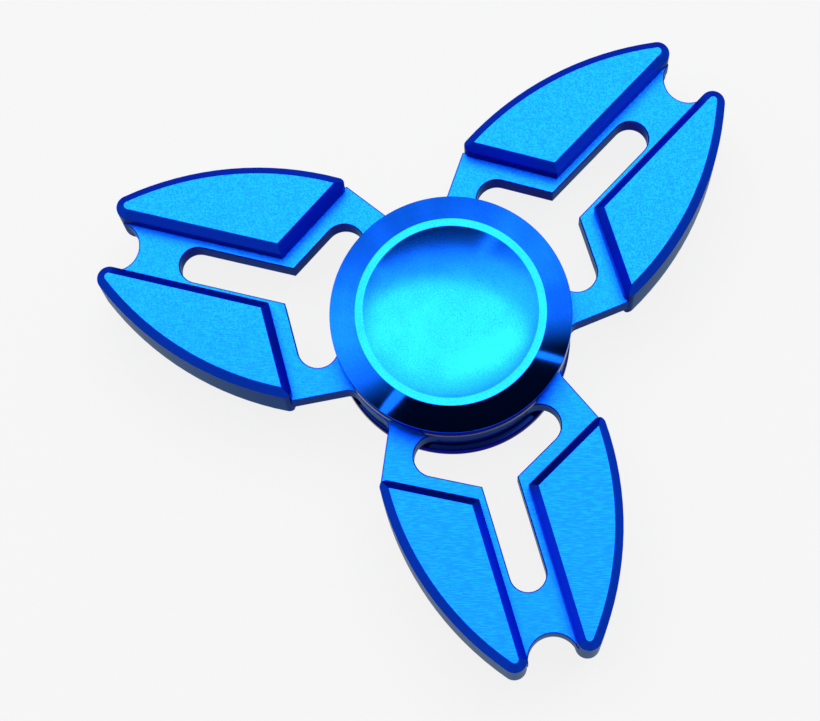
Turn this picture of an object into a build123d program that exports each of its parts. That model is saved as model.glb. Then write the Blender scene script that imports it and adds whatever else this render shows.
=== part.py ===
from build123d import *
import math
import os

# Three-claw finger spinner: an anodised frame on a shielded ball bearing, between two dished caps.
# Driving dimensions, millimetres. The origin is the centre of the bearing, and the spin axis is Z.

# Caps: a flat rim around a finger dish, a cone down to a straight edge
cap_radius = 12.45
rim_outer_radius = 9.8
rim_inner_radius = 9.03
rim_height = 7.0
cap_edge_top = 5.95
cap_underside = 3.8
dish_depth = 1.6
cap_hub_radius = 5.2
edge_break = 0.12

# Bearing, size 608: 8 bore, 22 outside, 7 wide, seven balls
bore_radius = 4.0
bearing_radius = 11.0
bearing_half_width = 3.5
ball_count = 7
ball_radius = 3.969 / 2
pitch_radius = 7.5
race_clearance = 0.02
groove_radius = 2.08
inner_shoulder_radius = 6.1
outer_shoulder_radius = 8.95
ring_chamfer = 0.3

# Cage: two pressed halves riveted between the balls
cage_inner_radius = 6.75
cage_outer_radius = 8.25
cage_thickness = 0.35
pocket_clearance = 0.04
rivet_radius = 0.4
rivet_head_radius = 0.62
rivet_head_height = 0.2

# Shields and the open wire rings that hold them in the outer ring
shield_bottom = 2.7
shield_thickness = 0.25
shield_inner_radius = 6.4
shield_seat_radius = 9.8
shield_step_radius = 9.3
shield_step = 0.2
clip_height = 0.3
clip_clearance = 0.04
clip_groove_radius = 10.1
clip_inner_radius = 9.45
clip_outer_radius = 10.06
clip_gap_angle = 16

# Joint between the two caps: a spigot each side and a threaded stud
spigot_clearance = 0.01
spigot_gap = 0.3
stud_radius = 2.5
stud_length = 5.4
stud_chamfer = 0.4
stud_hole_radius = 2.52
stud_hole_top = 3.1
stud_socket_across_flats = 2.5
stud_socket_depth = 1.6

# Frame
arm_angles = (90, 210, 330)
web_half_thickness = 1.55
pad_height = 4.4
pad_chamfer = 0.9
hub_radius = 11.95
hub_half_height = 3.45
hub_web_radius = 12.3

# Plan of one claw half, in the arm's own X (outwards) and Y (sideways)
claw_arc_centre = (16.1, -20.44)
claw_arc_radius = 32.5
pad_gap_half_width = 2.63
pad_base_corner_x = 18.84
pad_edge_angle = 61.6
claw_corner_radius = 0.7
claw_tip_radius = 1.3
leg_edge_point = (14.2, 11.85)
leg_edge_angle = 24.3
leg_edge_length = 8
leg_fillet_radius = 1.2
web_under_pad = 1
web_end_x = 36.1

# Plan of the slot in each arm and the notch at its tip
slot_half_width = 1.88
slot_end_x = 29.2
slot_fork_x = 17.4
slot_branch_length = 5.5
slot_end_radius = 2.12
notch_centre_x = 36.4

# How near a vertex or an edge has to be to the place it is picked by
pick_tolerance = 0.01

os.makedirs("parts", exist_ok=True)


def save(part, name):
    """Label one finished piece and write it as its own file."""
    part.label = name
    export_step(part, f"parts/{name}.step")


def along(point, angle, distance):
    """The point at a distance from another, in the direction of an angle in degrees."""
    turn = math.radians(angle)
    return (point[0] + distance * math.cos(turn), point[1] + distance * math.sin(turn))


def arc_crossing(height):
    """X of the claw's outer arc at a sideways height, on the tip side of its centre."""
    return claw_arc_centre[0] + math.sqrt(claw_arc_radius**2 - (height - claw_arc_centre[1]) ** 2)


# Spinner frame: pads, web and hub

# Where the pad's hub-side edge meets the outer arc: a quadratic along the edge
edge_direction = 180 - pad_edge_angle
base_corner = (pad_base_corner_x, pad_gap_half_width)
edge_turn = math.radians(edge_direction)
to_corner = (base_corner[0] - claw_arc_centre[0], base_corner[1] - claw_arc_centre[1])
half_b = to_corner[0] * math.cos(edge_turn) + to_corner[1] * math.sin(edge_turn)
gap_to_arc = claw_arc_radius**2 - to_corner[0] ** 2 - to_corner[1] ** 2
edge_length = -half_b + math.sqrt(half_b**2 + gap_to_arc)
outer_corner = along(base_corner, edge_direction, edge_length)
sharp_tip = (arc_crossing(pad_gap_half_width), pad_gap_half_width)
arc_top = (claw_arc_centre[0], claw_arc_centre[1] + claw_arc_radius)

with BuildSketch() as pad_plan:
    with BuildLine():
        Line(outer_corner, base_corner)
        Line(base_corner, sharp_tip)
        ThreePointArc(sharp_tip, arc_top, outer_corner)
    make_face()
    fillet(pad_plan.vertices().sort_by(Axis.X)[-1], claw_tip_radius)

# The wall's corner beside the hub is rounded, and the top face keeps it sharp
with BuildSketch() as rounded_plan:
    add(pad_plan.sketch)
    fillet(rounded_plan.vertices().sort_by(Axis.X)[0], claw_corner_radius)

# Each leg's straight outer edge runs from the claw's corner in to the hub
leg_hub_point = along(leg_edge_point, 180 + leg_edge_angle, leg_edge_length)
web_edge_y = pad_gap_half_width + web_under_pad
slot_fork = (slot_fork_x, slot_half_width)
branch_end = along(slot_fork, edge_direction, slot_branch_length)
branch_centre = along(branch_end, edge_direction + 90, slot_end_radius)
slot_end_centre_x = slot_end_x - slot_half_width

with BuildSketch() as web_half:
    with BuildLine():
        Polyline(
            (0, 0),
            leg_hub_point,
            leg_edge_point,
            (pad_base_corner_x + web_under_pad, web_edge_y),
            (web_end_x, web_edge_y),
            (web_end_x, 0),
            close=True,
        )
    make_face()

with BuildSketch() as slot_plan:
    with BuildLine():
        upper = [(slot_end_centre_x, slot_half_width), slot_fork, branch_end, branch_centre]
        lower = [(x, -y) for x, y in reversed(upper)]
        Polyline(*upper, (0, 0), *lower, close=True)
    make_face()
    with Locations((slot_end_centre_x, 0)):
        Circle(slot_half_width)
    with Locations(branch_centre, (branch_centre[0], -branch_centre[1])):
        Circle(slot_end_radius)
    Circle(hub_radius, mode=Mode.SUBTRACT)

with BuildSketch() as notch_plan:
    with Locations((notch_centre_x, 0)):
        Circle(pad_gap_half_width)
    with Locations((notch_centre_x + pad_gap_half_width, 0)):
        Rectangle(2 * pad_gap_half_width, 2 * pad_gap_half_width)

with BuildSketch() as web_plan:
    Circle(hub_web_radius)
    for angle in arm_angles:
        half = web_half.sketch
        add([half.rotate(Axis.Z, angle), half.mirror(Plane.XZ).rotate(Axis.Z, angle)])
    waists = web_plan.vertices().filter_by(
        lambda v: abs(math.hypot(v.X, v.Y) - hub_web_radius) < pick_tolerance
    )
    fillet(waists, leg_fillet_radius)
    for angle in arm_angles:
        add(slot_plan.sketch.rotate(Axis.Z, angle), mode=Mode.SUBTRACT)
        add(notch_plan.sketch.rotate(Axis.Z, angle), mode=Mode.SUBTRACT)

with BuildPart() as web:
    with BuildSketch():
        add(web_plan.sketch)
    extrude(amount=web_half_thickness, both=True)
    rims = web.edges().filter_by(Plane.XY).group_by(Axis.Z)
    chamfer(rims[0] + rims[-1], edge_break)

with BuildPart() as claw_pad:
    with BuildSketch():
        add(pad_plan.sketch)
    extrude(amount=pad_height, both=True)
    rims = claw_pad.edges().filter_by(Plane.XY).group_by(Axis.Z)
    chamfer(rims[0] + rims[-1], pad_chamfer)
    with BuildSketch():
        add(rounded_plan.sketch)
    extrude(amount=pad_height, both=True, mode=Mode.INTERSECT)

with BuildPart() as spinner_frame:
    add(web.part)
    Cylinder(hub_radius, 2 * hub_half_height)
    for angle in arm_angles:
        pad = claw_pad.part
        add([pad.rotate(Axis.Z, angle), pad.mirror(Plane.XZ).rotate(Axis.Z, angle)])
    Hole(bearing_radius)

save(spinner_frame.part, "spinner_frame")

# Caps: two turned parts, mirror images of each other

dish_bottom = rim_height - dish_depth
dish_radius = (rim_inner_radius**2 + dish_depth**2) / (2 * dish_depth)


def dish_height(x):
    """Height of the spherical finger dish at a distance from the axis."""
    return dish_bottom + dish_radius - math.sqrt(dish_radius**2 - x**2)


spigot_radius = bore_radius - spigot_clearance
half_rim = rim_inner_radius / 2

with BuildPart() as top_cap:
    with BuildSketch(Plane.XZ):
        with BuildLine():
            Polyline(
                (0, dish_bottom),
                (0, stud_hole_top),
                (stud_hole_radius, stud_hole_top),
                (stud_hole_radius, spigot_gap / 2),
                (spigot_radius, spigot_gap / 2),
                (spigot_radius, bearing_half_width),
                (cap_hub_radius, bearing_half_width),
                (cap_hub_radius, cap_underside),
                (cap_radius - edge_break, cap_underside),
                (cap_radius, cap_underside + edge_break),
                (cap_radius, cap_edge_top - edge_break),
                (cap_radius - edge_break, cap_edge_top),
                (rim_outer_radius, rim_height),
                (rim_inner_radius, rim_height),
            )
            ThreePointArc(
                (rim_inner_radius, rim_height),
                (half_rim, dish_height(half_rim)),
                (0, dish_bottom),
            )
        make_face()
    revolve(axis=Axis.Z)

with BuildPart() as bottom_cap:
    add(top_cap.part.mirror(Plane.XY))

# The stud that draws the caps together, a socket set screw
with BuildPart() as cap_stud:
    Cylinder(stud_radius, stud_length)
    chamfer(cap_stud.edges().filter_by(GeomType.CIRCLE), stud_chamfer)
    with BuildSketch(Plane.XY.offset(stud_length / 2)):
        RegularPolygon(stud_socket_across_flats / 2, 6, major_radius=False)
    extrude(amount=-stud_socket_depth, mode=Mode.SUBTRACT)

save(top_cap.part, "top_cap")
save(bottom_cap.part, "bottom_cap")
save(cap_stud.part, "cap_stud")

# Bearing rings, each with a groove for the balls

race_reach = ball_radius + race_clearance
clip_groove_bottom = shield_bottom + shield_thickness
clip_groove_top = clip_groove_bottom + clip_height + clip_clearance


def mirrored_down(points):
    """The upper half of a ring's section, from top to bottom, followed by its mirror image."""
    return points + [(x, -z) for x, z in reversed(points)]


with BuildPart() as outer_ring:
    with BuildSketch(Plane.XZ):
        with BuildLine():
            bore_side = mirrored_down(
                [
                    (shield_seat_radius, bearing_half_width),
                    (shield_seat_radius, clip_groove_top),
                    (clip_groove_radius, clip_groove_top),
                    (clip_groove_radius, clip_groove_bottom),
                    (shield_seat_radius, clip_groove_bottom),
                    (shield_seat_radius, shield_bottom),
                    (outer_shoulder_radius, shield_bottom),
                ]
            )
            outside = mirrored_down(
                [
                    (bearing_radius - ring_chamfer, bearing_half_width),
                    (bearing_radius, bearing_half_width - ring_chamfer),
                ]
            )
            Polyline(*bore_side, *reversed(outside), close=True)
        make_face()
        with Locations((pitch_radius + race_reach - groove_radius, 0)):
            Circle(groove_radius, mode=Mode.SUBTRACT)
    revolve(axis=Axis.Z)

with BuildPart() as inner_ring:
    with BuildSketch(Plane.XZ):
        with BuildLine():
            bore_side = mirrored_down(
                [
                    (bore_radius + ring_chamfer, bearing_half_width),
                    (bore_radius, bearing_half_width - ring_chamfer),
                ]
            )
            outside = mirrored_down([(inner_shoulder_radius, bearing_half_width)])
            Polyline(*bore_side, *reversed(outside), close=True)
        make_face()
        with Locations((pitch_radius - race_reach + groove_radius, 0)):
            Circle(groove_radius, mode=Mode.SUBTRACT)
    revolve(axis=Axis.Z)

save(outer_ring.part, "outer_ring")
save(inner_ring.part, "inner_ring")

# Balls

for index in range(ball_count):
    turn = math.radians(360 / ball_count * index)
    with BuildPart() as ball:
        with Locations((pitch_radius * math.cos(turn), pitch_radius * math.sin(turn), 0)):
            Sphere(ball_radius)
    save(ball.part, f"ball_{index + 1}")

# Cage: each half is a flat band with a cup over every ball

pocket_inner_radius = ball_radius + pocket_clearance
pocket_outer_radius = pocket_inner_radius + cage_thickness
between_balls = 180 / ball_count

with BuildSketch() as cage_band:
    Circle(cage_outer_radius)
    Circle(cage_inner_radius, mode=Mode.SUBTRACT)

with BuildPart() as upper_cage_half:
    with PolarLocations(pitch_radius, ball_count):
        Sphere(pocket_outer_radius)
    with BuildSketch():
        add(cage_band.sketch)
    extrude(amount=cage_thickness)
    with BuildSketch():
        add(cage_band.sketch)
    extrude(amount=pocket_outer_radius, mode=Mode.INTERSECT)
    with PolarLocations(pitch_radius, ball_count):
        Sphere(pocket_inner_radius, mode=Mode.SUBTRACT)
    with PolarLocations(pitch_radius, ball_count, start_angle=between_balls):
        Hole(rivet_radius)

with BuildPart() as lower_cage_half:
    add(upper_cage_half.part.mirror(Plane.XY))

with BuildPart() as cage_rivets:
    head_middle = cage_thickness + rivet_head_height / 2
    with PolarLocations(pitch_radius, ball_count, start_angle=between_balls):
        Cylinder(rivet_radius, 2 * cage_thickness)
        with Locations((0, 0, head_middle), (0, 0, -head_middle)):
            Cylinder(rivet_head_radius, rivet_head_height)

save(upper_cage_half.part, "upper_cage_half")
save(lower_cage_half.part, "lower_cage_half")
save(cage_rivets.part, "cage_rivets")

# Shields: pressed discs whose outer flange sits on the ring's step under an open wire ring

shield_top = shield_bottom + shield_thickness

with BuildPart() as upper_shield:
    with BuildSketch(Plane.XZ):
        with BuildLine():
            Polyline(
                (shield_seat_radius, shield_bottom),
                (shield_seat_radius, shield_top),
                (shield_step_radius, shield_top),
                (shield_step_radius - shield_step, shield_top + shield_step),
                (shield_inner_radius, shield_top + shield_step),
                (shield_inner_radius, shield_bottom + shield_step),
                (shield_step_radius - shield_step - shield_thickness / 2, shield_bottom + shield_step),
                (shield_step_radius - shield_thickness / 2, shield_bottom),
                close=True,
            )
        make_face()
    revolve(axis=Axis.Z)

with BuildPart() as lower_shield:
    add(upper_shield.part.mirror(Plane.XY))

clip_middle = shield_top + clip_clearance / 2 + clip_height / 2

with BuildPart() as upper_shield_clip:
    with BuildSketch(Plane.XZ.rotated((0, 0, clip_gap_angle / 2))):
        with Locations(((clip_inner_radius + clip_outer_radius) / 2, clip_middle)):
            Rectangle(clip_outer_radius - clip_inner_radius, clip_height)
    revolve(axis=Axis.Z, revolution_arc=360 - clip_gap_angle)

with BuildPart() as lower_shield_clip:
    add(upper_shield_clip.part.mirror(Plane.XY))

save(upper_shield.part, "upper_shield")
save(lower_shield.part, "lower_shield")
save(upper_shield_clip.part, "upper_shield_clip")
save(lower_shield_clip.part, "lower_shield_clip")
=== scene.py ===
import math

import bpy
import numpy as np
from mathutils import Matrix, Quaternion, Vector


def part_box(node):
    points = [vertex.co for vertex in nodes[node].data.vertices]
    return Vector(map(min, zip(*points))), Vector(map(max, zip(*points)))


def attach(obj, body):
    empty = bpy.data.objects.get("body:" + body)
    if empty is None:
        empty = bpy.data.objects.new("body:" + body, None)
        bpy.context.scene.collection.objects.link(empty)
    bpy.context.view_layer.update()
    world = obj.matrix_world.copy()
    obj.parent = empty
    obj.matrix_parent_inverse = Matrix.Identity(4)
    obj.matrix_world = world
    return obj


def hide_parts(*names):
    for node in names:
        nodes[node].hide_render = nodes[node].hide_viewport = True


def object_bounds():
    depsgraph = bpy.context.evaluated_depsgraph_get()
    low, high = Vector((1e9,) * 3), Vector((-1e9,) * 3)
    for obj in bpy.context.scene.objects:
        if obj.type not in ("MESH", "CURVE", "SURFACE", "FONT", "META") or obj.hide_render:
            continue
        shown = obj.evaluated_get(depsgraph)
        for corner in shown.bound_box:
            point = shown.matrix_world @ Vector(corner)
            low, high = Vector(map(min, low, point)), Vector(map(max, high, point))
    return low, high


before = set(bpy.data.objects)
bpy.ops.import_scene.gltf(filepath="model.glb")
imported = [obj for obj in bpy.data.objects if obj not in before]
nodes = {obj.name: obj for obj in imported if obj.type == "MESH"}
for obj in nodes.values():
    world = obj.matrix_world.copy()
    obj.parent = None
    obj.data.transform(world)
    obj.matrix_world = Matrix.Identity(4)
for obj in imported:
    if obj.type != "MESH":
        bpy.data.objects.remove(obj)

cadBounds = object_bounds()
mm = 0.001


# Camera: looks down on the upper cap, tilted a little to one side and rolled.
view = {"aim": (-0.69 * mm, -5.61 * mm, 0), "azimuth": -38.05, "elevation": 77.56,
        "distance": 295.16 * mm, "roll": -8.5, "lens": 124.41, "sensor": 36,
        "near": 1 * mm, "far": 50}


def outFrom(point, azimuth, elevation, distance):
    # the place at a distance from a point: azimuth turns about Z from +X, elevation lifts it
    turn, lift = math.radians(azimuth), math.radians(elevation)
    way = Vector((math.cos(lift) * math.cos(turn), math.cos(lift) * math.sin(turn), math.sin(lift)))
    return Vector(point) + distance * way


def lookAt(holder, point, roll=0):
    # the object's own -Z faces the point, and it is then turned about that line
    back = (holder.location - Vector(point)).normalized()
    turn = Quaternion((0, 0, 1), math.radians(roll))
    holder.rotation_mode = "QUATERNION"
    holder.rotation_quaternion = back.to_track_quat("Z", "Y") @ turn


def addCamera():
    lens = bpy.data.cameras.new("camera")
    lens.lens, lens.sensor_width = view["lens"], view["sensor"]
    lens.clip_start, lens.clip_end = view["near"], view["far"]
    camera = bpy.data.objects.new("camera", lens)
    camera.location = outFrom(view["aim"], view["azimuth"], view["elevation"], view["distance"])
    lookAt(camera, view["aim"], view["roll"])
    bpy.context.scene.collection.objects.link(camera)
    bpy.context.scene.camera = camera


addCamera()
print("camera placed")


# Node helper: one function adds any node. An input goes by its name, with _ for a space, or by its place,
# as i0. Mix takes numbers at 2 and 3, and colours at 6 and 7, which come out at 2. Map Range reads the
# range from 1 to 2 and gives the range from 3 to 4, or 0 to 1.
def addNode(tree, kind, settings=None, **inputs):
    # settings are the node's own properties; a socket is linked to its input, any other value is set on it
    node = tree.nodes.new(kind)
    for name, value in (settings or {}).items():
        setattr(node, name, value)
    for name, value in inputs.items():
        place = name[1:]
        socket = node.inputs[int(place)] if place.isdigit() else node.inputs[name.replace("_", " ")]
        if isinstance(value, bpy.types.NodeSocket):
            tree.links.new(value, socket)
        else:
            socket.default_value = value
    return node


def linear(hexColour):
    # sRGB to linear: a dark value over 12.92, any other with 0.055 added, over 1.055, to the power 2.4
    values = [int(hexColour[i:i + 2], 16) / 255 for i in (0, 2, 4)]
    return tuple(v / 12.92 if v <= 0.04045 else ((v + 0.055) / 1.055) ** 2.4 for v in values) + (1.0,)


def newMaterial(name):
    material = bpy.data.materials.new(name)
    material.use_nodes = True
    material.node_tree.nodes.clear()
    return material, material.node_tree


def showShader(tree, shader):
    addNode(tree, "ShaderNodeOutputMaterial", i0=shader.outputs[0])


def ownPlace(tree):
    # the texture coordinates, and the object's own coordinates in millimetres
    coords = addNode(tree, "ShaderNodeTexCoord")
    inMm = addNode(tree, "ShaderNodeVectorMath", {"operation": "SCALE"},
                   Vector=coords.outputs["Object"], Scale=1 / mm)
    return coords, inMm.outputs[0]


def aroundAxis(tree, inMm):
    # for round work: the level way out from the axis with its x and y, the radius, the height, and
    # radius plus height, which grows steadily along a section
    spread = addNode(tree, "ShaderNodeVectorMath", {"operation": "MULTIPLY"}, i0=inMm, i1=(1, 1, 0))
    way = addNode(tree, "ShaderNodeVectorMath", {"operation": "NORMALIZE"}, i0=spread.outputs[0])
    reach = addNode(tree, "ShaderNodeVectorMath", {"operation": "LENGTH"}, i0=spread.outputs[0])
    wayParts = addNode(tree, "ShaderNodeSeparateXYZ", i0=way.outputs[0])
    placeParts = addNode(tree, "ShaderNodeSeparateXYZ", i0=inMm)
    radius, height = reach.outputs["Value"], placeParts.outputs[2]
    run = addNode(tree, "ShaderNodeMath", {"operation": "ADD"}, i0=radius, i1=height)
    return {"way": way.outputs[0], "x": wayParts.outputs[0], "y": wayParts.outputs[1],
            "radius": radius, "height": height, "run": run.outputs[0]}


# Noise for lines and strokes, for single grains, and for slow clouds of tone
lineNoise = {"Detail": 2, "Roughness": 0.6}
grainNoise = {"Detail": 1, "Roughness": 0.5}
cloudNoise = {"Detail": 3, "Roughness": 0.55}


# Frame: aluminium, milled to shape, its flat faces brushed one way on a belt, then dyed blue and sealed.
# The flats show a pale sky blue with short level strokes. Walls and bevels, which the belt doesn't reach,
# are smoother, and their deeper blues are painted shade, darker than the flats. Sizes are in millimetres
# and turns in degrees. The lines of a belt are a few hundredths wide, and are drawn wider here, so that
# they show.
frameFinish = {
    # tones: the flats' pale blue, and deeper bevel and wall blues, which are painted shade
    "flat": "0a64fc", "flatShade": "044cf0", "bevel": "0a3cc4", "bevelShade": "062ea4",
    "wall": "0c3898", "wallShade": "06226c", "edgeTint": "6496a8",
    "bevelFrom": 0.2, "bevelFull": 0.5, "flatFrom": 0.97, "flatFull": 0.99,  # how level a face is
    "brushTurn": 43.6, "strokeLength": 1.1, "strokeWidth": 0.13, "strokeDepth": 0.004,
    "grain": 0.16, "cloud": 4.0, "toneLow": 0.40, "toneHigh": 0.60,
    "biteTurn": -46.8, "biteFrom": -4, "biteTo": 16, "biteLeast": 0.25, "biteMost": 0.9, "biteShade": 0.3,
    "cutterRow": 0.22, "cutterRun": 5.0, "cloudShare": 0.5, "rowLow": 0.34, "rowHigh": 0.68,
    "pitSpacing": 1.2, "pitInner": 0.04, "pitOuter": 0.128, "pitShade": 0.55,
    "flatRoughness": 0.40, "smoother": 0.04, "duller": 0.05, "dullLow": 0.35, "dullHigh": 0.65,
    "wallRoughness": 0.30, "coat": 0.05, "coatIor": 1.22, "coatRoughness": 0.12,
}


def brushedAnodisedAluminium():
    f = frameFinish
    material, tree = newMaterial("brushedAnodisedAluminium")
    coords, inMm = ownPlace(tree)
    turned = addNode(tree, "ShaderNodeVectorRotate", {"rotation_type": "Z_AXIS"}, Vector=inMm,
                     Angle=math.radians(-f["brushTurn"]))
    along = turned.outputs[0]

    # how level a face is: the height of its normal, 1 on a flat and 0 on a wall
    facing = addNode(tree, "ShaderNodeSeparateXYZ", i0=coords.outputs["Normal"])
    level = addNode(tree, "ShaderNodeMath", {"operation": "ABSOLUTE"}, i0=facing.outputs[2])
    isFlat = addNode(tree, "ShaderNodeMapRange", Value=level.outputs[0],
                     i1=f["flatFrom"], i2=f["flatFull"])
    isBevel = addNode(tree, "ShaderNodeMapRange", Value=level.outputs[0],
                      i1=f["bevelFrom"], i2=f["bevelFull"])

    # strokes: noise stretched along the belt's way
    stretch = (1 / f["strokeLength"], 1 / f["strokeWidth"], 1 / f["strokeWidth"])
    strokePlace = addNode(tree, "ShaderNodeVectorMath", {"operation": "MULTIPLY"}, i0=along, i1=stretch)
    strokes = addNode(tree, "ShaderNodeTexNoise", Vector=strokePlace.outputs[0], Scale=1, **lineNoise)
    grain = addNode(tree, "ShaderNodeTexNoise", Vector=along, Scale=1 / f["grain"], **grainNoise)
    cloud = addNode(tree, "ShaderNodeTexNoise", Vector=along, Scale=1 / f["cloud"], **cloudNoise)

    # texture of a flat, 0 to 1: strokes show most towards one arm, and grain elsewhere
    bite = math.radians(f["biteTurn"])
    towards = addNode(tree, "ShaderNodeVectorMath", {"operation": "DOT_PRODUCT"}, i0=inMm,
                      i1=(math.cos(bite), math.sin(bite), 0))
    strokeShare = addNode(tree, "ShaderNodeMapRange", Value=towards.outputs["Value"],
                          i1=f["biteFrom"], i2=f["biteTo"], i3=f["biteLeast"], i4=f["biteMost"])
    relief = addNode(tree, "ShaderNodeMix", {"data_type": "FLOAT"}, i0=strokeShare.outputs[0],
                     i2=grain.outputs[0], i3=strokes.outputs[0])
    contrast = addNode(tree, "ShaderNodeMapRange", Value=relief.outputs[0],
                       i1=f["toneLow"], i2=f["toneHigh"])
    # flats are painted darker towards that same arm: painted shade
    shaded = addNode(tree, "ShaderNodeMath", {"operation": "MULTIPLY_ADD"}, i0=strokeShare.outputs[0],
                     i1=-f["biteShade"], i2=contrast.outputs[0])
    flatTone = addNode(tree, "ShaderNodeMix", {"data_type": "RGBA"}, i0=shaded.outputs[0],
                       i6=linear(f["flatShade"]), i7=linear(f["flat"]))

    # rows left by the cutter on the walls: long level lines
    stretch = (1 / f["cutterRun"], 1 / f["cutterRun"], 1 / f["cutterRow"])
    rowPlace = addNode(tree, "ShaderNodeVectorMath", {"operation": "MULTIPLY"}, i0=inMm, i1=stretch)
    rows = addNode(tree, "ShaderNodeTexNoise", Vector=rowPlace.outputs[0], Scale=1, **lineNoise)
    rowsAndCloud = addNode(tree, "ShaderNodeMix", {"data_type": "FLOAT"}, i0=f["cloudShare"],
                           i2=rows.outputs[0], i3=cloud.outputs[0])
    rowContrast = addNode(tree, "ShaderNodeMapRange", Value=rowsAndCloud.outputs[0],
                          i1=f["rowLow"], i2=f["rowHigh"])
    wallTone = addNode(tree, "ShaderNodeMix", {"data_type": "RGBA"}, i0=rowContrast.outputs[0],
                       i6=linear(f["wallShade"]), i7=linear(f["wall"]))

    # wall, bevel and flat (walls and bevels darker: painted shade), with a pit wherever the middle of a
    # cell lies near the surface
    bevelTone = addNode(tree, "ShaderNodeMix", {"data_type": "RGBA"}, i0=grain.outputs[0],
                        i6=linear(f["bevelShade"]), i7=linear(f["bevel"]))
    # walls and bevels take darker tones than the flats: painted shade
    paintedSideShade = addNode(tree, "ShaderNodeMix", {"data_type": "RGBA"}, i0=isBevel.outputs[0],
                       i6=wallTone.outputs[2], i7=bevelTone.outputs[2])
    tone = addNode(tree, "ShaderNodeMix", {"data_type": "RGBA"}, i0=isFlat.outputs[0],
                   i6=paintedSideShade.outputs[2], i7=flatTone.outputs[2])
    cells = addNode(tree, "ShaderNodeTexVoronoi", Vector=along, Scale=1 / f["pitSpacing"])
    pits = addNode(tree, "ShaderNodeMapRange", Value=cells.outputs["Distance"],
                   i1=f["pitInner"], i2=f["pitOuter"], i3=f["pitShade"], i4=0)
    colour = addNode(tree, "ShaderNodeMix", {"data_type": "RGBA"}, i0=pits.outputs[0],
                     i6=tone.outputs[2], i7=linear(f["wall"]))

    # strokes are a little duller than the ground between them
    flatRough = addNode(tree, "ShaderNodeMapRange", Value=relief.outputs[0],
                        i1=f["dullLow"], i2=f["dullHigh"],
                        i3=f["flatRoughness"] - f["smoother"], i4=f["flatRoughness"] + f["duller"])
    rough = addNode(tree, "ShaderNodeMix", {"data_type": "FLOAT"}, i0=isFlat.outputs[0],
                    i2=f["wallRoughness"], i3=flatRough.outputs[0])
    height = addNode(tree, "ShaderNodeMix", {"data_type": "FLOAT"}, i0=isFlat.outputs[0],
                     i2=rows.outputs[0], i3=relief.outputs[0])
    bump = addNode(tree, "ShaderNodeBump", Strength=1.0, Distance=f["strokeDepth"] * mm,
                   Height=height.outputs[0])
    shader = addNode(tree, "ShaderNodeBsdfPrincipled", Base_Color=colour.outputs[2], Metallic=1.0,
                     Roughness=rough.outputs[0], Normal=bump.outputs[0],
                     Specular_Tint=linear(f["edgeTint"]), Coat_Weight=f["coat"], Coat_IOR=f["coatIor"],
                     Coat_Roughness=f["coatRoughness"])
    showShader(tree, shader)
    return material


# Caps: aluminium, turned on a lathe with fine feed marks, then dyed and sealed like the frame.
# The marks run round the axis, so light spreads into fans that point at the middle. Sizes are in
# millimetres. A finishing cut leaves marks closer than these, which are drawn apart so that they show.
capFinish = {
    "deep": "0858f8", "pale": "1070ff", "edgeTint": "10205c",
    "inner": "020a30", "gapShadeHeight": 3.9,  # faces nearer the middle plane than this get the inner tone, a near-black painted shade
    "feed": 0.11, "markRun": 1.6, "markDepth": 0.0002, "grain": 0.13, "cloud": 3.0,
    "toneBase": 0.14, "markShare": 0.12, "grainShare": 0.4, "cloudShare": 0.2,
    "toneLow": 0.36, "toneHigh": 0.64,
    "dishReach": 9.0, "dishRoughness": 0.16, "coneRoughness": 0.07, "markRoughness": 0.02,
    "anisotropy": 0.5, "coat": 0.02, "coatIor": 1.22, "coatRoughness": 0.1,
}


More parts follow.
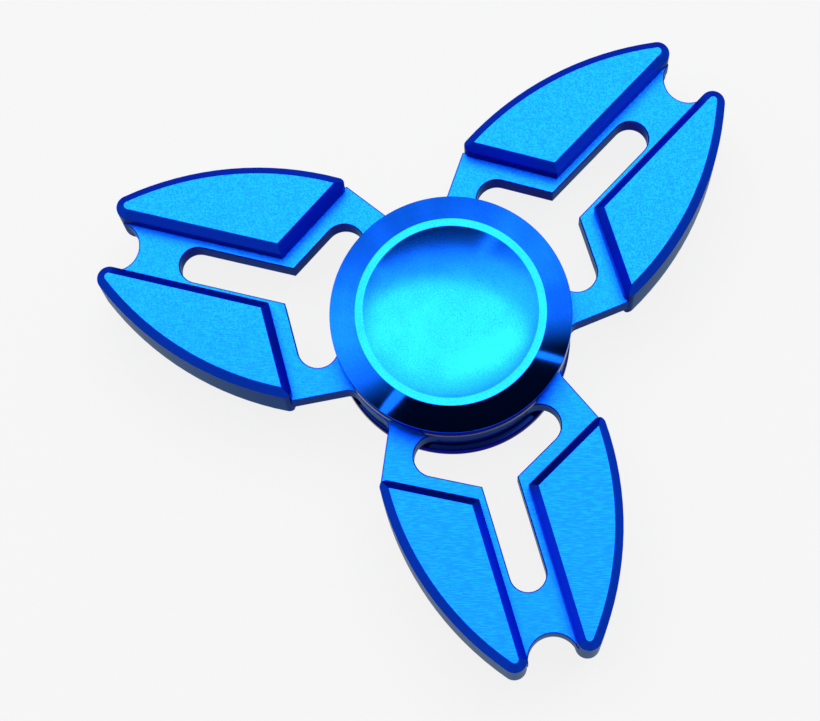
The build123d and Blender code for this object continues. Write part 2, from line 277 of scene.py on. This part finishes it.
def turnedAnodisedAluminium():
    f = capFinish
    material, tree = newMaterial("turnedAnodisedAluminium")
    _, inMm = ownPlace(tree)
    axis = aroundAxis(tree, inMm)

    # marks: noise that changes fast along the section and slowly round the axis
    runInFeeds = addNode(tree, "ShaderNodeMath", {"operation": "DIVIDE"}, i0=axis["run"], i1=f["feed"])
    roundX = addNode(tree, "ShaderNodeMath", {"operation": "MULTIPLY"}, i0=axis["x"], i1=f["markRun"])
    roundY = addNode(tree, "ShaderNodeMath", {"operation": "MULTIPLY"}, i0=axis["y"], i1=f["markRun"])
    markPlace = addNode(tree, "ShaderNodeCombineXYZ", i0=runInFeeds.outputs[0], i1=roundX.outputs[0],
                        i2=roundY.outputs[0])
    marks = addNode(tree, "ShaderNodeTexNoise", Vector=markPlace.outputs[0], Scale=1, **lineNoise)
    grain = addNode(tree, "ShaderNodeTexNoise", Vector=inMm, Scale=1 / f["grain"], **grainNoise)
    cloud = addNode(tree, "ShaderNodeTexNoise", Vector=inMm, Scale=1 / f["cloud"], **cloudNoise)

    # tone: a share of each of the three, added to a base
    withMarks = addNode(tree, "ShaderNodeMath", {"operation": "MULTIPLY_ADD"}, i0=marks.outputs[0],
                        i1=f["markShare"], i2=f["toneBase"])
    withGrain = addNode(tree, "ShaderNodeMath", {"operation": "MULTIPLY_ADD"}, i0=grain.outputs[0],
                        i1=f["grainShare"], i2=withMarks.outputs[0])
    withCloud = addNode(tree, "ShaderNodeMath", {"operation": "MULTIPLY_ADD"}, i0=cloud.outputs[0],
                        i1=f["cloudShare"], i2=withGrain.outputs[0])
    contrast = addNode(tree, "ShaderNodeMapRange", Value=withCloud.outputs[0],
                       i1=f["toneLow"], i2=f["toneHigh"])
    outerTone = addNode(tree, "ShaderNodeMix", {"data_type": "RGBA"}, i0=contrast.outputs[0],
                        i6=linear(f["deep"]), i7=linear(f["pale"]))

    # faces turned towards the bearing get the inner tone, near-black: painted shade for the shadowed gap
    # between the caps
    level = addNode(tree, "ShaderNodeMath", {"operation": "ABSOLUTE"}, i0=axis["height"])
    inGapShade = addNode(tree, "ShaderNodeMath", {"operation": "LESS_THAN"}, i0=level.outputs[0],
                      i1=f["gapShadeHeight"])
    colour = addNode(tree, "ShaderNodeMix", {"data_type": "RGBA"}, i0=inGapShade.outputs[0],
                     i6=outerTone.outputs[2], i7=linear(f["inner"]))

    # the dish is duller than the rim and the cone
    inDish = addNode(tree, "ShaderNodeMath", {"operation": "LESS_THAN"}, i0=axis["radius"],
                     i1=f["dishReach"])
    base = addNode(tree, "ShaderNodeMix", {"data_type": "FLOAT"}, i0=inDish.outputs[0],
                   i2=f["coneRoughness"], i3=f["dishRoughness"])
    rough = addNode(tree, "ShaderNodeMath", {"operation": "MULTIPLY_ADD"}, i0=marks.outputs[0],
                    i1=f["markRoughness"], i2=base.outputs[0])
    bump = addNode(tree, "ShaderNodeBump", Strength=1.0, Distance=f["markDepth"] * mm,
                   Height=marks.outputs[0])
    across = addNode(tree, "ShaderNodeVectorTransform",
                     {"vector_type": "VECTOR", "convert_from": "OBJECT", "convert_to": "WORLD"},
                     i0=axis["way"])
    shader = addNode(tree, "ShaderNodeBsdfPrincipled", Base_Color=colour.outputs[2], Metallic=1.0,
                     Roughness=rough.outputs[0], Normal=bump.outputs[0], Tangent=across.outputs[0],
                     Anisotropic=f["anisotropy"], Specular_Tint=linear(f["edgeTint"]),
                     Coat_Weight=f["coat"], Coat_IOR=f["coatIor"], Coat_Roughness=f["coatRoughness"])
    showShader(tree, shader)
    return material


# Caps as turned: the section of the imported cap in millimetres, with its outer edges broken by small
# rounds, spun about Z.
capShape = {
    "rimInner": 9.03, "rimOuter": 9.8, "dishDepth": 1.6,
    "edgeTop": 5.95, "edgeBottom": 3.8,
    "bossRadius": 5.2, "bossFace": 3.5,
    "spigotRadius": 3.99, "spigotEnd": 0.15,
    "holeRadius": 2.52, "holeTop": 3.1,
    "edgeRound": 0.1, "rimRound": 0.05, "roundSteps": 5, "dishSteps": 60, "around": 360,
}


def roundedCorner(before, corner, after, radius, steps):
    # an arc that touches both lines at one distance from the corner: its centre lies on the line that
    # halves the corner, and its points are the start arm turned evenly into the end arm
    toBefore, toAfter = before - corner, after - corner
    toBefore, toAfter = toBefore / np.linalg.norm(toBefore), toAfter / np.linalg.norm(toAfter)
    half = math.acos(float(np.clip(toBefore @ toAfter, -1, 1))) / 2
    centre = corner + (toBefore + toAfter) / np.linalg.norm(toBefore + toAfter) * radius / math.sin(half)
    start = corner + toBefore * radius / math.tan(half) - centre
    end = corner + toAfter * radius / math.tan(half) - centre
    sweep = math.atan2(start[0] * end[1] - start[1] * end[0], float(start @ end))
    turn = np.linspace(0, sweep, steps)
    return centre + np.stack([start[0] * np.cos(turn) - start[1] * np.sin(turn),
                              start[0] * np.sin(turn) + start[1] * np.cos(turn)], 1)


def capSection():
    # radius and height of the closed section, from the dish's middle out over the rim, back to the axis;
    # the dish is part of a sphere, whose radius is (rim radius squared + depth squared) / (2 depth)
    c = capShape
    outer, _, top = [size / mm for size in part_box("top_cap")[1]]
    rim, depth = c["rimInner"], c["dishDepth"]
    ball = (rim ** 2 + depth ** 2) / (2 * depth)
    r = np.linspace(0, rim, c["dishSteps"])
    dish = np.stack([r, top - depth + ball - np.sqrt(ball ** 2 - r ** 2)], 1)
    # radius, height and round of each corner
    corners = [
        (rim, top, c["rimRound"]),
        (c["rimOuter"], top, c["rimRound"]),
        (outer, c["edgeTop"], c["edgeRound"]),
        (outer, c["edgeBottom"], c["edgeRound"]),
        (c["bossRadius"], c["edgeBottom"], 0),
        (c["bossRadius"], c["bossFace"], 0),
        (c["spigotRadius"], c["bossFace"], 0),
        (c["spigotRadius"], c["spigotEnd"], c["rimRound"]),
        (c["holeRadius"], c["spigotEnd"], c["rimRound"]),
        (c["holeRadius"], c["holeTop"], 0),
        (0, c["holeTop"], 0),
    ]
    # the dish's last step leads into the first corner, which takes the place of the dish's end
    points = [dish[-2]] + [np.array(corner[:2], float) for corner in corners]
    section = [dish[:-1]]
    for i, (_, _, cornerRound) in enumerate(corners, 1):
        if cornerRound:
            section.append(roundedCorner(points[i - 1], points[i], points[i + 1], cornerRound,
                                         c["roundSteps"]))
        else:
            section.append(points[i][None])
    return np.concatenate(section) * mm


def spinSection(name, section, upsideDown):
    # each point of the section at each angle: (r cos a, r sin a, z); the two ends of the section are on
    # the axis and become one point each, so the shell is closed. Upside down, z changes sign and the
    # faces are wound the other way, so that they still point outwards.
    around = capShape["around"]
    a = np.linspace(0, 2 * math.pi, around, endpoint=False)
    ring = section[1:-1]
    r, z = ring[:, :1], ring[:, 1:]
    grid = np.stack([r * np.cos(a), r * np.sin(a), np.repeat(z, around, 1)], 2)
    ends = np.array([[0, 0, section[0, 1]], [0, 0, section[-1, 1]]])
    points = np.concatenate([grid.reshape(-1, 3), ends])
    k = np.arange(around)
    nextK = (k + 1) % around
    rows = (np.arange(len(ring) - 1) * around)[:, None]
    quads = np.stack([rows + k, rows + around + k, rows + around + nextK, rows + nextK], 2).reshape(-1, 4)
    first, last, lastRow = len(points) - 2, len(points) - 1, (len(ring) - 1) * around
    fans = np.concatenate([np.stack([np.full(around, first), k, nextK], 1),
                           np.stack([np.full(around, last), lastRow + nextK, lastRow + k], 1)])
    if upsideDown:
        points[:, 2] *= -1
        quads, fans = quads[:, ::-1], fans[:, ::-1]
    mesh = bpy.data.meshes.new(name)
    mesh.from_pydata(points.tolist(), [], quads.tolist() + fans.tolist())
    mesh.shade_smooth()
    piece = bpy.data.objects.new(name, mesh)
    bpy.context.scene.collection.objects.link(piece)
    return piece


def addCap(name, node, material, upsideDown):
    piece = spinSection(name, capSection(), upsideDown)
    piece.data.materials.append(material)
    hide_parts(node)
    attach(piece, "axle")


def dress(node, material):
    nodes[node].data.materials.clear()
    nodes[node].data.materials.append(material)


# Steels, mostly out of sight between the caps. Each has fine lines, round the axis where it was turned or
# ground and along X where it was rolled, and slow clouds of tone. Sizes are in millimetres, and the run of
# a round line is a share of the turn. Real lines are finer, and are drawn as wide as they need to show.
steels = [
    # set screw, blacked in hot oxide: a dull blue-black with a grainy skin
    {"name": "blackOxidedSteel", "nodes": ["cap_stud"],
     "tone": "3a3d42", "shade": "24262a", "round": False, "line": 0.3, "run": 0.3,
     "cloud": 1.2, "roughness": 0.42, "vary": 0.08, "depth": 0.006},
    # races, ground: bright, with hair lines round the axis
    {"name": "groundBearingSteel", "nodes": ["outer_ring", "inner_ring"],
     "tone": "c9ccd0", "shade": "b2b6bb", "round": True, "line": 0.05, "run": 1.4,
     "cloud": 3.0, "roughness": 0.20, "vary": 0.06, "depth": 0.0012},
    # balls, lapped: near mirrors with a very faint haze
    {"name": "lappedBearingSteel", "nodes": ["ball_" + str(i) for i in range(1, 8)],
     "tone": "d6d8db", "shade": "cdd0d4", "round": False, "line": 0.5, "run": 0.7,
     "cloud": 1.5, "roughness": 0.06, "vary": 0.02, "depth": 0.0002},
    # cage, pressed from rolled strip and tumbled: soft grey satin with a stretched mottle
    {"name": "pressedSteelStrip", "nodes": ["upper_cage_half", "lower_cage_half", "cage_rivets"],
     "tone": "aeb1b5", "shade": "93979c", "round": False, "line": 0.09, "run": 0.5,
     "cloud": 1.6, "roughness": 0.34, "vary": 0.08, "depth": 0.003},
    # shields, spun from bright sheet: pale, with wider rings
    {"name": "spunStainlessSheet", "nodes": ["upper_shield", "lower_shield"],
     "tone": "c4c6c8", "shade": "aaadb0", "round": True, "line": 0.09, "run": 2.2,
     "cloud": 2.5, "roughness": 0.28, "vary": 0.07, "depth": 0.002},
    # clips, drawn wire: darker spring steel with lines along the wire
    {"name": "drawnSpringWire", "nodes": ["upper_shield_clip", "lower_shield_clip"],
     "tone": "8d9196", "shade": "6c7075", "round": True, "line": 0.06, "run": 0.8,
     "cloud": 1.0, "roughness": 0.25, "vary": 0.06, "depth": 0.002},
]
steelPattern = {"cloudShare": 0.5, "toneLow": 0.35, "toneHigh": 0.65, "lineLow": 0.3, "lineHigh": 0.7}


def linedSteel(look):
    # lines: noise squeezed to the line width across them and stretched to their run along them
    s = steelPattern
    material, tree = newMaterial(look["name"])
    _, inMm = ownPlace(tree)
    if look["round"]:
        # across the lines lies radius plus height, and along them the way out from the axis
        axis = aroundAxis(tree, inMm)
        across = addNode(tree, "ShaderNodeMath", {"operation": "DIVIDE"}, i0=axis["run"], i1=look["line"])
        joined = addNode(tree, "ShaderNodeCombineXYZ", i0=axis["x"], i1=axis["y"], i2=across.outputs[0])
        where = addNode(tree, "ShaderNodeVectorMath", {"operation": "MULTIPLY"}, i0=joined.outputs[0],
                        i1=(look["run"], look["run"], 1))
    else:
        where = addNode(tree, "ShaderNodeVectorMath", {"operation": "MULTIPLY"}, i0=inMm,
                        i1=(1 / look["run"], 1 / look["line"], 1 / look["line"]))
    lines = addNode(tree, "ShaderNodeTexNoise", Vector=where.outputs[0], Scale=1, **lineNoise)
    cloud = addNode(tree, "ShaderNodeTexNoise", Vector=inMm, Scale=1 / look["cloud"], **cloudNoise)
    both = addNode(tree, "ShaderNodeMix", {"data_type": "FLOAT"}, i0=s["cloudShare"],
                   i2=lines.outputs[0], i3=cloud.outputs[0])
    contrast = addNode(tree, "ShaderNodeMapRange", Value=both.outputs[0], i1=s["toneLow"],
                       i2=s["toneHigh"])
    colour = addNode(tree, "ShaderNodeMix", {"data_type": "RGBA"}, i0=contrast.outputs[0],
                     i6=linear(look["shade"]), i7=linear(look["tone"]))
    rough = addNode(tree, "ShaderNodeMapRange", Value=lines.outputs[0], i1=s["lineLow"], i2=s["lineHigh"],
                    i3=look["roughness"] + look["vary"] / 2, i4=look["roughness"] - look["vary"] / 2)
    bump = addNode(tree, "ShaderNodeBump", Strength=1.0, Distance=look["depth"] * mm,
                   Height=lines.outputs[0])
    shader = addNode(tree, "ShaderNodeBsdfPrincipled", Base_Color=colour.outputs[2], Metallic=1.0,
                     Roughness=rough.outputs[0], Normal=bump.outputs[0])
    showShader(tree, shader)
    return material


dress("spinner_frame", brushedAnodisedAluminium())
for look in steels:
    skin = linedSteel(look)
    for node in look["nodes"]:
        dress(node, skin)
print("frame and bearing dressed")

capSkin = turnedAnodisedAluminium()
addCap("topCap", "top_cap", capSkin, False)
addCap("bottomCap", "bottom_cap", capSkin, True)
print("caps turned")


# Floor: a pale light table, which glows, so that shadows on it stay faint. It lies a hair below the cap.
floorLook = {"gap": 0.02 * mm, "half": 3.0, "glow": 0.85, "glowTone": "ffffff", "tableTone": "343434"}


def addFloor():
    # a square, twice the half width across
    low, h = cadBounds[0][2] - floorLook["gap"], floorLook["half"]
    mesh = bpy.data.meshes.new("floor")
    mesh.from_pydata([(-h, -h, low), (h, -h, low), (h, h, low), (-h, h, low)], [], [(0, 1, 2, 3)])
    floor = bpy.data.objects.new("floor", mesh)
    bpy.context.scene.collection.objects.link(floor)
    material, tree = newMaterial("lightTable")
    glow = addNode(tree, "ShaderNodeEmission", Color=linear(floorLook["glowTone"]),
                   Strength=floorLook["glow"])
    matt = addNode(tree, "ShaderNodeBsdfDiffuse", Color=linear(floorLook["tableTone"]))
    both = addNode(tree, "ShaderNodeAddShader", i0=glow.outputs[0], i1=matt.outputs[0])
    showShader(tree, both)
    mesh.materials.append(material)


addFloor()
print("floor laid")


# Softboxes, in metres, degrees and watts: azimuth and elevation from the object, all aimed at it
rig = {"reach": 0.6, "boxes": [
    {"name": "overhead", "azimuth": 129, "elevation": 65.5, "wide": 0.78, "tall": 0.58, "power": 4.7},
    {"name": "ceiling", "azimuth": 133, "elevation": 77, "wide": 0.90, "tall": 0.62, "power": 2.75},
    {"name": "leftStrip", "azimuth": -92, "elevation": 57, "wide": 0.05, "tall": 0.34, "power": 0.075},
    {"name": "rightStrip", "azimuth": 35, "elevation": 49, "wide": 0.03, "tall": 0.34, "power": 0.05},
    {"name": "key", "azimuth": 159, "elevation": 55, "wide": 0.36, "tall": 0.15, "power": 0.22},
]}


def addSoftboxes():
    for box in rig["boxes"]:
        light = bpy.data.lights.new(box["name"], "AREA")
        light.shape, light.energy = "ELLIPSE", box["power"]
        light.size, light.size_y = box["wide"], box["tall"]
        holder = bpy.data.objects.new(box["name"], light)
        holder.location = outFrom((0, 0, 0), box["azimuth"], box["elevation"], rig["reach"])
        lookAt(holder, (0, 0, 0))
        bpy.context.scene.collection.objects.link(holder)


# Tent: soft white cloth round the table, open on one side, where it is dark. Lamps behind the cloth make
# soft bright patches on it. The camera itself sees plain pale paper.
tent = {
    "wall": 0.75, "folds": 3.2, "foldDepth": 1.2, "paper": "f6f6f6",
    "dark": 0.01, "frontAzimuth": -28.3, "frontFrom": -0.03, "frontTo": 0.27, "foot": 26, "footSoft": 5,
    "lamps": [{"azimuth": 213, "elevation": 42, "spread": 14, "glow": 1.7},
              {"azimuth": 95, "elevation": 38, "spread": 9, "glow": 0.9}],
}


def addTent():
    t = tent
    world = bpy.data.worlds.new("tent")
    world.use_nodes = True
    tree = world.node_tree
    tree.nodes.clear()
    coords = addNode(tree, "ShaderNodeTexCoord")
    # turned so that the open side lies on +X
    turned = addNode(tree, "ShaderNodeVectorRotate", {"rotation_type": "Z_AXIS"},
                     Vector=coords.outputs["Generated"], Angle=math.radians(-t["frontAzimuth"]))
    axes = addNode(tree, "ShaderNodeSeparateXYZ", i0=turned.outputs[0])
    behind = addNode(tree, "ShaderNodeMapRange", {"interpolation_type": "SMOOTHSTEP"},
                     Value=axes.outputs[0], i1=t["frontFrom"], i2=t["frontTo"], i3=1, i4=0)
    # below the foot of the opening there is cloth again
    foot, soft = math.radians(t["foot"]), math.radians(t["footSoft"])
    below = addNode(tree, "ShaderNodeMapRange", {"interpolation_type": "SMOOTHSTEP"},
                    Value=axes.outputs[2], i1=math.sin(foot - soft), i2=math.sin(foot + soft), i3=1, i4=0)
    cover = addNode(tree, "ShaderNodeMath", {"operation": "MAXIMUM"}, i0=behind.outputs[0],
                    i1=below.outputs[0])
    # folds: slow changes with the angle round the object, by the fold depth about the wall's own light
    angle = addNode(tree, "ShaderNodeMath", {"operation": "ARCTAN2"}, i0=axes.outputs[1],
                    i1=axes.outputs[0])
    fold = addNode(tree, "ShaderNodeTexNoise", {"noise_dimensions": "1D"}, W=angle.outputs[0],
                   Scale=t["folds"], Detail=1)
    total = addNode(tree, "ShaderNodeMath", {"operation": "MULTIPLY_ADD"}, i0=fold.outputs[0],
                    i1=t["foldDepth"] * t["wall"], i2=(1 - t["foldDepth"] / 2) * t["wall"])
    for lamp in t["lamps"]:
        # a patch's light: glow times e to the power spread * (cosine of the angle to the lamp - 1)
        way = outFrom((0, 0, 0), lamp["azimuth"], lamp["elevation"], 1)
        cosine = addNode(tree, "ShaderNodeVectorMath", {"operation": "DOT_PRODUCT"},
                         i0=coords.outputs["Generated"], i1=tuple(way))
        power = addNode(tree, "ShaderNodeMath", {"operation": "MULTIPLY_ADD"}, i0=cosine.outputs["Value"],
                        i1=lamp["spread"], i2=-lamp["spread"])
        patch = addNode(tree, "ShaderNodeMath", {"operation": "EXPONENT"}, i0=power.outputs[0])
        total = addNode(tree, "ShaderNodeMath", {"operation": "MULTIPLY_ADD"}, i0=patch.outputs[0],
                        i1=lamp["glow"], i2=total.outputs[0])
    light = addNode(tree, "ShaderNodeMix", {"data_type": "FLOAT"}, i0=cover.outputs[0], i2=t["dark"],
                    i3=total.outputs[0])
    cloth = addNode(tree, "ShaderNodeBackground", Color=(1, 1, 1, 1), Strength=light.outputs[0])
    paper = addNode(tree, "ShaderNodeBackground", Color=linear(t["paper"]), Strength=1)
    path = addNode(tree, "ShaderNodeLightPath")
    both = addNode(tree, "ShaderNodeMixShader", i0=path.outputs["Is Camera Ray"], i1=cloth.outputs[0],
                   i2=paper.outputs[0])
    addNode(tree, "ShaderNodeOutputWorld", i0=both.outputs[0])
    bpy.context.scene.world = world


addSoftboxes()
addTent()
bpy.context.scene.view_settings.view_transform = "Standard"
print("studio lit")
